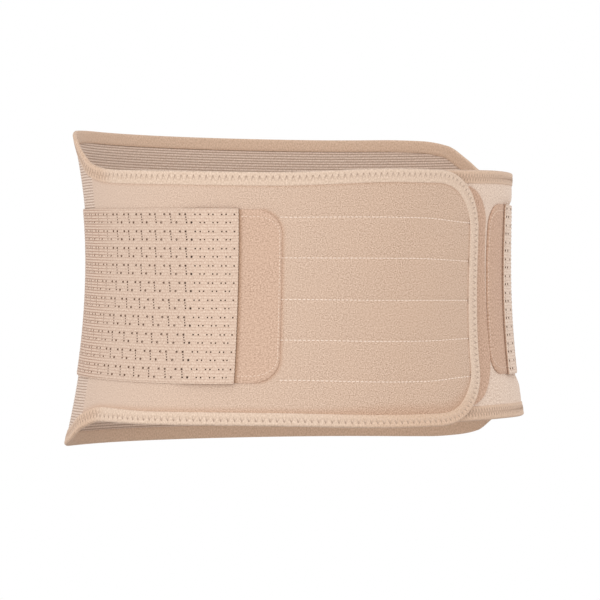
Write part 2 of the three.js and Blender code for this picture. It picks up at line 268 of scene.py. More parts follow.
def readVerts(piece):
    flat = np.empty(len(piece.data.vertices) * 3)
    piece.data.vertices.foreach_get("co", flat)
    return flat.reshape(-1, 3)


def writeVerts(piece, points):
    piece.data.vertices.foreach_set("co", np.ascontiguousarray(points, float).ravel())
    piece.data.update()


def writeUv(piece, name, values):
    layer = piece.data.uv_layers.get(name) or piece.data.uv_layers.new(name=name)
    corners = np.empty(len(piece.data.loops), int)
    piece.data.loops.foreach_get("vertex_index", corners)
    layer.data.foreach_set("uv", np.ascontiguousarray(values[corners], float).ravel())


def readUv(piece, name):
    flat = np.empty(len(piece.data.loops) * 2)
    piece.data.uv_layers[name].data.foreach_get("uv", flat)
    return flat.reshape(-1, 2).T


def writeValue(piece, name, values):
    layer = piece.data.attributes.new(name, "FLOAT", "POINT")
    layer.data.foreach_set("value", np.ascontiguousarray(values, float))


# a flat cut of cloth as a grid: columns along the belt, rows as the outline reads them
def cutCloth(name, columns, rows, outline):
    bpy.ops.object.select_all(action="DESELECT")
    bpy.ops.mesh.primitive_grid_add(x_subdivisions=len(columns) - 1, y_subdivisions=len(rows) - 1, size=2)
    piece = bpy.context.object
    piece.name = piece.data.name = name
    square = readVerts(piece)
    column = np.rint((square[:, 0] + 1) / 2 * (len(columns) - 1)).astype(int)
    row = np.rint((square[:, 1] + 1) / 2 * (len(rows) - 1)).astype(int)
    along, height = outline(np.asarray(columns, float)[column], np.asarray(rows, float)[row])
    writeVerts(piece, np.stack([along, height, 0 * along], 1) * mm)
    while piece.data.uv_layers:
        piece.data.uv_layers.remove(piece.data.uv_layers[0])
    return piece


def selectVerts(piece, chosen):
    bpy.ops.object.mode_set(mode="EDIT")
    bpy.ops.mesh.select_mode(type="VERT")
    bpy.ops.mesh.select_all(action="DESELECT")
    bpy.ops.object.mode_set(mode="OBJECT")
    piece.data.vertices.foreach_set("select", np.ascontiguousarray(chosen, bool))
    bpy.ops.object.mode_set(mode="EDIT")


def mergeDoubles(piece, threshold):
    selectVerts(piece, np.ones(len(piece.data.vertices)))
    bpy.ops.mesh.remove_doubles(threshold=threshold * mm)
    bpy.ops.object.mode_set(mode="OBJECT")


clothUnit = 100  # mm of cloth to one unit of the pattern's coordinates


# wraps the flat cut, gives it thickness and smooth faces
def wrapCloth(piece, place, thickness, materials, smoothAngle=50, inner=0, rim=0):
    flat = readVerts(piece) / mm
    writeUv(piece, "pattern", flat[:, :2] / clothUnit)
    along, height, lift, share = place(flat[:, 0], flat[:, 1])
    group = piece.vertex_groups.new(name="thick")
    for index, weight in enumerate(np.clip(share + 0 * along, 0, 1).tolist()):
        group.add([index], weight, "REPLACE")
    writeVerts(piece, wrap(along, height, lift + 0 * along))
    for material in materials:
        piece.data.materials.append(material)
    wall = piece.modifiers.new("wall", "SOLIDIFY")
    wall.thickness = thickness * mm
    wall.offset = 0
    wall.vertex_group = "thick"
    wall.thickness_vertex_group = 0.02
    wall.material_offset = inner
    wall.material_offset_rim = rim
    bpy.ops.object.modifier_apply(modifier="wall")
    bpy.ops.object.shade_smooth_by_angle(angle=math.radians(smoothAngle))


# stitches: one low spindle, repeated between pairs of pattern points (along, height, lift)
def sew(name, starts, ends, radius, material, sides=6):
    bpy.ops.object.select_all(action="DESELECT")
    bpy.ops.mesh.primitive_uv_sphere_add(segments=sides, ring_count=4, radius=1)
    piece = bpy.context.object
    spindle = readVerts(piece)
    loop = sorted(list(face.vertices) for face in piece.data.polygons)  # the sphere's own order varies
    run = ends - starts
    length = np.linalg.norm(run[:, :2], axis=1)
    across = np.stack([-run[:, 1], run[:, 0]], 1) / length[:, None]
    share = (spindle[:, 2] + 1) / 2
    dip = radius * 0.9 * (2 * share - 1) ** 4  # the ends sink into the cloth
    points = starts[:, None] + run[:, None] * share[None, :, None]
    points[:, :, :2] += across[:, None] * (spindle[:, 0] * radius)[None, :, None]
    points[:, :, 2] += spindle[:, 1] * radius - dip
    points = points.reshape(-1, 3)
    faces = [[corner + k * len(spindle) for corner in face] for k in range(len(starts)) for face in loop]
    mesh = bpy.data.meshes.new(name)
    mesh.from_pydata(wrap(points[:, 0], points[:, 1], points[:, 2]), [], faces)
    mesh.materials.append(material)
    old = piece.data
    piece.data = mesh
    bpy.data.meshes.remove(old)
    piece.name = name
    bpy.ops.object.shade_smooth()
    return piece


# even stitches along lines of pattern points
def sewLines(name, lines, stitch, material):
    starts, ends = [], []
    for line in lines:
        run = runAlong(line[:, :2])
        marks = np.linspace(0, run[-1], max(2, int(run[-1] / stitch["pitch"])) + 1)
        starts.append(pickAt(marks[:-1] + stitch["gap"] / 2, run, line))
        ends.append(pickAt(marks[1:] - stitch["gap"] / 2, run, line))
    return sew(name, np.concatenate(starts), np.concatenate(ends), stitch["radius"], material)


# an sRGB hex colour in linear values
def colour(text):
    parts = [int(text[k:k + 2], 16) / 255 for k in (0, 2, 4)]
    return [c / 12.92 if c <= 0.04045 else ((c + 0.055) / 1.055) ** 2.4 for c in parts] + [1]


def node(tree, kind, inputs=None, out=0, **settings):
    made = tree.nodes.new("ShaderNode" + kind)
    for name, value in settings.items():
        setattr(made, name, value)
    for socket, value in (inputs or {}).items():
        if isinstance(value, bpy.types.NodeSocket):
            tree.links.new(value, made.inputs[socket])
        else:
            made.inputs[socket].default_value = value
    return made.outputs if out is None else made.outputs[out]


def newMaterial(name, roughness, sheen):
    material = bpy.data.materials.new(name)
    material.use_nodes = True
    tree = material.node_tree
    shader = tree.nodes["Principled BSDF"]
    shader.inputs["Roughness"].default_value = roughness
    shader.inputs["Specular IOR Level"].default_value = 0.2
    shader.inputs["Sheen Weight"].default_value = sheen
    shader.inputs["Sheen Roughness"].default_value = 0.5
    return material, tree, shader


# brushed loop fabric: short matted pile, cloudy from the way it was last stroked
# the pile is too fine to show, so grain, in mm, is drawn as coarse as its clumps
def brushedCloth(name, dark, light, cloud, grain, pale=None, paintedShade=None):
    material, tree, shader = newMaterial(name, 0.95, 0.12)
    pattern = node(tree, "UVMap", uv_map="pattern")
    strokeWidth = 22  # mm
    fine = node(tree, "TexNoise", {"Vector": pattern, "Scale": clothUnit / grain,
                                   "Detail": 3, "Roughness": 0.65})
    wide = node(tree, "TexNoise", {"Vector": pattern, "Scale": clothUnit / strokeWidth,
                                   "Detail": 3, "Roughness": 0.6})
    pile = node(tree, "MapRange", {0: fine, 1: 0.34, 2: 0.66})
    strokes = node(tree, "MapRange", {0: wide, 1: 0.35, 2: 0.65, 4: 0.3})
    base = node(tree, "Mix", {0: pile, 6: colour(dark), 7: colour(light)}, data_type="RGBA", out=2)
    stroked = node(tree, "Mix", {0: strokes, 6: base, 7: colour(cloud)}, data_type="RGBA", out=2)
    # paler towards the side seam, where the pile is stroked the other way: partly painted sheen
    if pale:  # stroked the other way towards the side seam
        along = node(tree, "SeparateXYZ", {0: pattern})
        near, far = 260 / clothUnit, 470 / clothUnit
        nearSeam = node(tree, "MapRange", {0: along, 1: near, 2: far, 3: 0.5, 4: 0})
        stroked = node(tree, "Mix", {0: nearSeam, 6: stroked, 7: colour(pale)}, data_type="RGBA", out=2)
    # painted shade: darker where the padding rolls down to the tape, and on the tab beside the strap's front
    # end
    if paintedShade:  # matted and shaded where the padding rolls down to the tape
        beside = node(tree, "Attribute", attribute_name="fromEdge", out="Fac")
        shadeAmount = node(tree, "MapRange", {0: beside, 1: 0, 2: 11, 3: 1, 4: 0},
                      interpolation_type="SMOOTHSTEP")
        stroked = node(tree, "Mix", {0: shadeAmount, 6: stroked, 7: colour(paintedShade)},
                       data_type="RGBA", blend_type="MULTIPLY", out=2)
    bump = node(tree, "Bump", {"Strength": 0.6, "Distance": 0.0006, "Height": fine})
    tree.links.new(stroked, shader.inputs["Base Color"])
    tree.links.new(bump, shader.inputs["Normal"])
    return material


# elastic: knitted ribs with furrows painted darker as their shade, and yarn loops drawn coarser than real so
# that they show depth is the contrast of the ribs and their painted shade where it is stretched, frontDepth
# where it is slack, and drawn how much paler it is where it is stretched
def ribbedElastic(name, furrow, yarn, pitch, phase, depth, frontDepth, sewnFrom, drawn=1.0):
    material, tree, shader = newMaterial(name, 0.85, 0.1)
    pattern = node(tree, "UVMap", uv_map="pattern")
    loopSize = (1.0, 1.7)  # mm
    along, across, _ = node(tree, "SeparateXYZ", {0: pattern}, out=None)
    turns = node(tree, "Math", {0: across, 1: clothUnit / pitch, 2: phase},
                 operation="MULTIPLY_ADD")
    part = node(tree, "Math", {0: turns}, operation="FRACT")
    fold = node(tree, "Math", {0: part, 1: 0.5}, operation="PINGPONG")
    rib = node(tree, "MapRange", {0: fold, 1: 0.02, 2: 0.28})
    loops = node(tree, "Mapping", {0: pattern, 2: (0, 0, 0.6),
                                   3: (clothUnit / loopSize[0], clothUnit / loopSize[1], 1)})
    yarnNoise = node(tree, "TexNoise", {"Vector": loops, "Scale": 1, "Detail": 3, "Roughness": 0.6})
    away = node(tree, "Math", {0: along}, operation="ABSOLUTE")
    drawnTo, slackFrom = 225 / clothUnit, 255 / clothUnit
    strength = node(tree, "MapRange", {0: away, 1: drawnTo, 2: slackFrom, 3: depth, 4: frontDepth})
    shallow = node(tree, "Math", {0: 1.0, 1: strength}, operation="SUBTRACT")
    tone = node(tree, "Math", {0: rib, 1: strength, 2: shallow}, operation="MULTIPLY_ADD")
    mottle = node(tree, "MapRange", {0: yarnNoise, 1: 0.34, 2: 0.66, 3: 0.5})
    shade = node(tree, "Math", {0: tone, 1: mottle}, operation="MULTIPLY")
    base = node(tree, "Mix", {0: shade, 6: colour(furrow), 7: colour(yarn)}, data_type="RGBA", out=2)
    sewn = sewnFrom / clothUnit
    slack = node(tree, "MapRange", {0: away, 1: sewn - 0.12, 2: sewn + 0.03, 3: 0.94, 4: 0.98})
    thin = node(tree, "MapRange", {0: away, 1: 220 / clothUnit, 2: 250 / clothUnit, 3: drawn, 4: 1})
    level = node(tree, "Math", {0: slack, 1: thin}, operation="MULTIPLY")
    toned = node(tree, "HueSaturation", {"Value": level, "Color": base})
    lift = node(tree, "Math", {0: rib, 1: depth, 2: yarnNoise}, operation="MULTIPLY_ADD")
    bump = node(tree, "Bump", {"Strength": 0.5, "Distance": 0.0004, "Height": lift})
    tree.links.new(toned, shader.inputs["Base Color"])
    tree.links.new(bump, shader.inputs["Normal"])
    return material


# fold-over tape: soft knit, drawn coarser than real so that it shows, with painted shade in the dents
# where the zigzag thread pulls it in
def bindingTape(name, dark, light, dull, dent):
    material, tree, shader = newMaterial(name, 0.8, 0.12)
    pattern = node(tree, "UVMap", uv_map="pattern")
    loopSize = (1.0, 1.6)  # mm
    knit = node(tree, "Mapping", {0: pattern,
                                  3: (clothUnit / loopSize[0], clothUnit / loopSize[1], 1)})
    grain = node(tree, "TexNoise", {"Vector": knit, "Scale": 1, "Detail": 3, "Roughness": 0.6})
    knitTone = node(tree, "MapRange", {0: grain, 1: 0.3, 2: 0.7})
    base = node(tree, "Mix", {0: knitTone, 6: colour(dark), 7: colour(light)}, data_type="RGBA", out=2)
    # darker where 'shaded' is set: a darker tone on the tape of the back, and painted shade on the lower tape
    # near the outer flap's free end
    shaded = node(tree, "Attribute", attribute_name="shaded", out="Fac")
    dulled = node(tree, "Mix", {0: shaded, 6: colour("ffffff"), 7: colour(dull)}, data_type="RGBA", out=2)
    toned = node(tree, "Mix", {0: 1, 6: base, 7: dulled}, data_type="RGBA", blend_type="MULTIPLY", out=2)
    # the zigzag's painted dent shade: whole legs where the stitches are dense, else V marks at its tips
    dense = node(tree, "Attribute", attribute_name="dense", out="Fac")
    place = node(tree, "UVMap", uv_map="stitch")
    leg, inset, _ = node(tree, "SeparateXYZ", {0: place}, out=None)
    swing = node(tree, "Math", {0: leg, 1: 1.0}, operation="PINGPONG")
    path = node(tree, "Math", {0: swing, 1: 0.52, 2: 0.21}, operation="MULTIPLY_ADD")
    gap = node(tree, "Math", {0: inset, 1: path}, operation="SUBTRACT")
    away = node(tree, "Math", {0: gap}, operation="ABSOLUTE")
    line = node(tree, "MapRange", {0: away, 1: 0.045, 2: 0.13, 3: 0.9, 4: 0})
    tipped = node(tree, "MapRange", {0: swing, 1: 0.4, 2: 0.68, 3: 1, 4: 0})
    reach = node(tree, "Math", {0: tipped, 1: dense}, operation="MAXIMUM")
    # painted shade: one leg of each pair is darker, as light falls from one side
    lap = node(tree, "Math", {0: leg, 1: 2.0}, operation="FLOORED_MODULO")
    rising = node(tree, "Math", {0: lap, 1: 1.0}, operation="GREATER_THAN")
    early = node(tree, "Attribute", attribute_name="early", out="Fac")
    other = node(tree, "Math", {0: rising, 1: early}, operation="SUBTRACT")
    weak = node(tree, "Math", {0: other}, operation="ABSOLUTE")
    strong = node(tree, "MapRange", {0: weak, 3: 1, 4: 0.6})
    paintedDentShade = node(tree, "Math", {0: line, 1: reach}, operation="MULTIPLY")
    pulled = node(tree, "Math", {0: paintedDentShade, 1: strong}, operation="MULTIPLY")
    done = node(tree, "Mix", {0: pulled, 6: toned, 7: colour(dent)}, data_type="RGBA", out=2)
    bump = node(tree, "Bump", {"Strength": 0.5, "Distance": 0.0004, "Height": grain})
    tree.links.new(done, shader.inputs["Base Color"])
    tree.links.new(bump, shader.inputs["Normal"])
    return material


# polyester sewing thread: smooth, a little brighter than the cloth, with a twist of about 0.7 mm
def sewingThread(name, tint):
    material, tree, shader = newMaterial(name, 0.6, 0.05)
    place = node(tree, "TexCoord", out="Object")
    twist = node(tree, "TexNoise", {"Vector": place, "Scale": 1500, "Detail": 2})
    shade = node(tree, "Mix", {0: twist, 6: colour(tint), 7: colour("ffffff")},
                 data_type="RGBA", blend_type="MULTIPLY", out=2)
    tree.links.new(shade, shader.inputs["Base Color"])
    return material


flapCloth = brushedCloth("brushed_loop_nylon", "9c7c66", "e4cab5", "c8ab95", 0.88, "d2bcac", "f3e9e2")
underCloth = brushedCloth("brushed_loop_nylon_pale", "bca08d", "efdbca", "dec8b7", 1.3)
liningCloth = brushedCloth("tricot_lining", "bfa28d", "d3baa7", "cbb09c", 1.0)
hookCloth = brushedCloth("brushed_hook_fabric", "a98a76", "dbbca6", "c9aa94", 1.15, paintedShade="ded1c4")
closureCloth = brushedCloth("moulded_hook_fabric", "a4816b", "dab8a1", "c6a48c", 1.45)
# a dark colour painted on the walls of the strap holes, as their shade
holeWallShade = brushedCloth("hole_wall_painted_shade", "80614f", "ac8d79", "987965", 0.6)
tapeCloth = bindingTape("fold_over_tape", "bfa691", "e2cbb8", "f9f1ea", "866b5d")
rowThread = sewingThread("polyester_thread", "f0dfd1")
tapeThread = sewingThread("polyester_thread_dull", "d2bba8")
closeThread = sewingThread("polyester_thread_shaded", "b89e8b")
tabThread = sewingThread("polyester_thread_tan", "e8d2c0")
strapThread = sewingThread("polyester_thread_pale", "d9c4b2")
print("materials made")

pieces = {}  # piece: (object, the CAD node it replaces, slot)

# outer flap
flap = {
    "columnStep": 1.8, "rowStep": 1.5, "rowHeights": (-58.6, -29.5, 0, 30.3, 60),
    "rowProud": (0.16, 0.12, 0.06, 0.16, 0.16), "rowsFrom": (378, 384), "sewnFrom": 382, "sewnInset": 9.2,
    "spread": 0.022, "sink": 0.6, "spreadOver": (385, 465), "converge": 0.05, "convergeOver": (18, 74),
    "groove": (0.36, 1.2), "hollow": (0.14, 5), "pucker": (0.10, 4.5),  # depth and width of each
    "ripple": (0.22, 0.16), "rippleFrom": (388, 430), "rippleInset": (9, 28),
    "stitch": {"pitch": 3.1, "gap": 0.35, "radius": 0.36},
}
flapShade = {  # where the tape's inner edge lies at the bottom, top and end, and how soon each shade fades
    "low": 8.2, "lowOver": (390, 460), "high": (8.8, 5, 2), "end": (9.4, 4, 2),
    "tab": 3.2, "tabOver": (4, 8), "clear": 12,
}


# the rows spread and sink a little towards the free end, and draw together at it
def flapRow(height, along):
    out = ease(along, *flap["spreadOver"])
    spread = height * (1 + flap["spread"] * out) - flap["sink"] * out
    first, last = flap["convergeOver"]
    return spread * (1 - flap["converge"] * ease(along, frontCentre + first, frontCentre + last))


def placeFlap(along, height):
    press = pressed(along, height)
    share = 1 - (pinch(along, height) + press) / belt["panel"]
    toEdge = np.minimum(toRim(along, height), clothEnd - along)
    free = ease(along, *flap["rippleFrom"]) * ease(toEdge, *flap["rippleInset"])
    wide, close = flap["ripple"]
    ripple = wide * np.sin(along / 19 + height / 27) + close * np.sin(along / 11 - height / 15 + 1)
    lift = climb(along) - press / 2 + free * ripple
    sewn = ease(along, *flap["rowsFrom"])
    (groove, grooveWidth), (hollow, hollowWidth) = flap["groove"], flap["hollow"]
    pucker, puckerWidth = flap["pucker"]
    for number, rowHeight in enumerate(flap["rowHeights"]):
        away = height - flapRow(rowHeight, along)
        dip = groove * np.exp(-(away / grooveWidth) ** 2) + hollow * np.exp(-(away / hollowWidth) ** 2)
        share = share - sewn * dip
        run = along * 2 * math.pi
        wave = np.sin(run / 7.3 + 2.1 * number) + 0.6 * np.sin(run / 11.9 + number)
        lift = lift + sewn * pucker * wave * np.exp(-(away / puckerWidth) ** 2)
    return along + sway(along, height), height, lift, share


# how far a point lies from the tape and the right tab, for the painted shade beside them, counted as less
# at the bottom, where the tape shades most
def besideTape(along, height):
    lowSlope = clothBottom(along + 0.5) - clothBottom(along - 0.5)
    highSlope = clothTop(along + 0.5) - clothTop(along - 0.5)
    low = (height - clothBottom(along)) / np.hypot(1, lowSlope) - flapShade["low"]
    low = low * (2 - ease(along, *flapShade["lowOver"]))
    edge, start, rate = flapShade["high"]
    high = start + rate * ((clothTop(along) - height) / np.hypot(1, highSlope) - edge)
    edge, start, rate = flapShade["end"]
    ahead = np.minimum(np.minimum(low, high), start + rate * (clothEnd - along - edge))
    tab, corner = straps["right"], tabCut["corner"]
    run = along - tab["slant"] * height
    offset = (height - strapMiddle(tab, run)) / strapScale(tab, run)
    pastFront = np.maximum(run - tab["tabFront"] + corner, 0)
    pastSide = np.maximum(np.abs(offset) - strapCut["width"] / 2 + tabCut["inset"] + corner, 0)
    fromTab = np.maximum(np.hypot(pastFront, pastSide) - corner, 0)
    first, last = flapShade["tabOver"]
    besideFront = ease(run, tab["frontEnd"] + first, tab["tabFront"] - last)
    return np.minimum(ahead, flapShade["tab"] * fromTab + flapShade["clear"] * (1 - besideFront))


columnCount = int((clothEnd - belt["seam"]) / flap["columnStep"])
columns = np.linspace(belt["seam"] + belt["seamGap"], clothEnd, columnCount)
rows = np.linspace(0, 1, int(belt["flapHeight"] / flap["rowStep"]))
piece = cutCloth("front_flap", columns, rows, clothOutline)
writeValue(piece, "fromEdge", besideTape(*(readVerts(piece)[:, :2] / mm).T))
wrapCloth(piece, placeFlap, belt["panel"], (flapCloth, liningCloth), inner=1)
pieces["front_flap"] = (piece, "front_panel", "panel_fabric")

along = np.linspace(flap["sewnFrom"], clothEnd - flap["sewnInset"], 160)
lines = []
for rowHeight, proud in zip(flap["rowHeights"], flap["rowProud"]):
    at, height, lift, share = placeFlap(along, flapRow(rowHeight, along))
    lines.append(np.stack([at, height, lift + share * belt["panel"] / 2 + proud], 1))
pieces["row_stitches"] = (sewLines("row_stitches", lines, flap["stitch"], rowThread), None, "binding_tape")
print("outer flap made")

# under flap
under = {"columnStep": 2.4, "rowStep": 2.4}


def placeUnder(along, height):
    press = pressed(along, height)
    return along, height, -press / 2, 1 - (pinch(along, height) + press) / belt["panel"]


columnCount = int((-belt["seam"] - clothStart) / under["columnStep"])
columns = np.linspace(clothStart, -belt["seam"] - belt["seamGap"], columnCount)
rows = np.linspace(0, 1, int(belt["flapHeight"] / under["rowStep"]))
piece = cutCloth("under_flap", columns, rows, clothOutline)
wrapCloth(piece, placeUnder, belt["panel"], (underCloth, liningCloth), inner=1)
pieces["under_flap"] = (piece, "under_panel", "panel_fabric")
print("under flap made")

# ribbed back: level ribs, cut off where they meet the edge
back = {"columnStep": 4.5, "ribPitch": 2.08, "rowsPerRib": 3, "furrow": 0.32, "contrast": 0.8}
backElastic = ribbedElastic("ribbed_elastic", "94745f", "e7d2c2", back["ribPitch"], 0,
                            back["contrast"], back["contrast"], 0)


def placeBack(along, height):
    wave = 0.5 + 0.5 * np.cos(2 * math.pi * height / back["ribPitch"])
    press = pressed(along, height)
    share = 1 - back["furrow"] * wave ** 2 - (pinch(along, height) + press) / belt["back"]
    return along, height, -press / 2, share


backHalf = belt["seam"] - belt["seamGap"]
columns = np.linspace(-backHalf, backHalf, int(2 * belt["seam"] / back["columnStep"]))
rowStep = back["ribPitch"] / back["rowsPerRib"]
rows = np.arange(math.floor(clothBottom(0.0) / rowStep), math.ceil(clothTop(0.0) / rowStep) + 1) * rowStep
piece = cutCloth("back_elastic", columns, rows, lambda a, h: (a, np.clip(h, clothBottom(a), clothTop(a))))
mergeDoubles(piece, 0.02)
wrapCloth(piece, placeBack, belt["back"], (backElastic,), 80)
pieces["back_elastic"] = (piece, "back_panel", "rib_elastic")
print("back made")

# binding tape, swept round the outline of the cloth
tape = {
    "legsWide": 4.5, "legsDense": 3.4, "denseTo": 250, "tip": 2.1, "root": 7.3, "dent": 0.3, "dentWidth": 0.6,
    "flatWidth": 23, "step": 0.8, "cornerSteps": 40, "endSteps": 80, "samples": 5200,
    "lowTurn": 0.13, "highTurn": 0.07, "turnOver": (0.6, 0.95), "turnFrom": (240, 300),
    "backTone": (-258, -236), "lowShadeOver": (390, 480), "stitchRadius": 0.2, "stitchRise": 0.72,
}
bend = belt["bottomCorner"]
ramp = 1 - np.sin(np.linspace(0, math.pi / 2, tape["cornerSteps"]))
straight = np.arange(clothStart + bend + 1, clothEnd - bend, tape["step"])
across = np.concatenate([clothStart + bend * ramp[::-1], straight, clothEnd - bend * ramp])
topLine = np.stack([across, clothTop(across)], 1)
bottomLine = np.stack([across, clothBottom(across)], 1)[::-1]


def endLine(first, last):
    heights = np.linspace(first[1], last[1], tape["endSteps"] + 2)[1:-1]
    return np.stack([np.full(tape["endSteps"], first[0]), heights], 1)


outline = np.concatenate([topLine, endLine(topLine[-1], bottomLine[0]),
                          bottomLine, endLine(bottomLine[-1], topLine[0]), topLine[:1]])
outline[:, 0] += sway(outline[:, 0], outline[:, 1])
outline = outline[np.concatenate([[True], np.linalg.norm(np.diff(outline, axis=0), axis=1) > 1e-4])]
outlineRun = runAlong(outline)
even = np.linspace(0, outlineRun[-1], tape["samples"])
outline = pickAt(even, outlineRun, outline)
heading = np.roll(outline[:-1], -2, 0) - np.roll(outline[:-1], 2, 0)
heading = np.concatenate([heading, heading[:1]])
heading /= np.linalg.norm(heading, axis=1, keepdims=True)
inward = np.stack([heading[:, 1], -heading[:, 0]], 1)

# the legs of the zigzag, counted along the outline
pitch = np.where(outline[:, 0] > tape["denseTo"], tape["legsWide"], tape["legsDense"])
legs = np.concatenate([[0], np.cumsum(2 / pitch[:-1] * np.diff(even))])
legCount = 2 * int(legs[-1] / 2)
legs *= legCount / legs[-1]


def outlineAt(leg, depth):
    run = np.interp(leg, legs, even)
    return pickAt(run, even, outline) + pickAt(run, even, inward) * np.reshape(depth, (-1, 1))


# the edges turn under, the lower one of the outer flap most, so less of the tape shows
def tapeTurn(leg):
    run = np.interp(leg, legs, even)
    upward = np.interp(run, even, inward[:, 1])
    onFlap = ease(np.interp(run, even, outline[:, 0]), *tape["turnFrom"])
    low, high = ease(upward, *tape["turnOver"]), ease(-upward, *tape["turnOver"])
    return tape["lowTurn"] * low * onFlap + tape["highTurn"] * high


section = [  # inward from the edge of the cloth, out from its face, and the face: 1 outer, -1 inner
    (9.35, 0.02, 1), (9.45, 0.35, 1), (9.15, 0.62, 1), (8.3, 0.7, 1), (7.3, 0.74, 1), (6.4, 0.76, 1),
    (5.6, 0.78, 1), (4.7, 0.78, 1), (3.8, 0.78, 1), (2.9, 0.78, 1), (2.1, 0.78, 1), (1.3, 0.8, 1),
    (0.6, 0.78, 1), (-0.1, 0.66, 1), (-0.6, 0.5, 0.8), (-0.95, 0.2, 0.5), (-1.1, 0, 0),
    (-0.95, -0.2, -0.5), (-0.6, -0.5, -0.8), (-0.1, -0.66, -1), (1.4, -0.8, -1), (3.6, -0.78, -1),
    (6.9, -0.78, -1), (9.15, -0.72, -1), (9.45, -0.42, -1), (9.35, -0.02, -1), (2, -0.02, -1), (2, 0.02, 1),
]
section = np.array(section + section[:1])
rings = np.arange(2 * legCount + 1) / 2
piece = cutCloth("edge_tape", rings, np.arange(len(section)), lambda ring, point: (ring / mm, point / mm))
grid = readVerts(piece)
ring = grid[:, 0]
depth, rise, face = section[np.rint(grid[:, 1]).astype(int)].T
spot = outlineAt(ring, np.where(depth > 0, depth * (1 - tapeTurn(ring)), depth))
swing = np.abs(np.mod(ring + 1, 2) - 1)
stitchAt = tape["tip"] + (tape["root"] - tape["tip"]) * swing
dented = (1 - 0.6 * swing) * np.exp(-((depth - stitchAt) / tape["dentWidth"]) ** 2)
dented = np.where(face > 0.9, dented, 0)
lift = climb(spot[:, 0]) + face * (boundHalf(spot[:, 0]) - belt["edgePinch"]) + rise - tape["dent"] * dented
ringRun = np.interp(ring, legs, even)
forward = np.interp(ringRun, even, heading[:, 0])
# the tape of the back is toned darker; onLower is painted shade on the lower tape towards the outer flap's
# free end
onBack = ease(-spot[:, 0], *tape["backTone"])
onLower = ease(-forward, 0.4, 0.9) * ease(spot[:, 0], *tape["lowShadeOver"])
writeUv(piece, "pattern", np.stack([ringRun, depth + 30 * (face < 0)], 1) / clothUnit)
writeUv(piece, "stitch", np.stack([ring, np.where(face > 0.5, depth, 9) / 10], 1))
writeValue(piece, "dense", onBack)
writeValue(piece, "early", ease(forward, -0.6, 0.6))
writeValue(piece, "shaded", onBack + onLower)
writeVerts(piece, wrap(spot[:, 0], spot[:, 1], lift))
mergeDoubles(piece, 0.002)
piece.data.materials.append(tapeCloth)
bpy.ops.object.shade_smooth_by_angle(angle=math.radians(60))
pieces["edge_tape"] = (piece, "edge_binding", "binding_tape")

# its zigzag stitches
legEnds = np.arange(legCount + 1.0)
legDepth = np.where(np.mod(legEnds, 2) < 0.5, tape["tip"], tape["root"]) * (1 - tapeTurn(legEnds))
spot = outlineAt(legEnds, legDepth)
lift = climb(spot[:, 0]) + boundHalf(spot[:, 0]) - belt["edgePinch"] + tape["stitchRise"]
points = np.column_stack([spot, lift])
onFlap = points[:-1, 0] > tape["denseTo"]
zigzags = {"tape_stitches": (onFlap, tapeThread), "close_tape_stitches": (~onFlap, closeThread)}
for name, (chosen, thread) in zigzags.items():
    piece = sew(name, points[:-1][chosen], points[1:][chosen], tape["stitchRadius"], thread, sides=5)
    pieces[name] = (piece, None, "binding_tape")
print("tape made")


# tabs and straps: along the belt, and offset up from the strap's lower edge
def strapPlace(strap, along, offset):
    height = strapMiddle(strap, along) + (offset - strapCut["width"] / 2) * strapScale(strap, along)
    at = along + strap["slant"] * ease(np.abs(along), belt["seam"], strap["tabBack"]) * height
    return at, height, climb(at) + boundHalf(at) - strapPress(at) + strapCut["seat"]


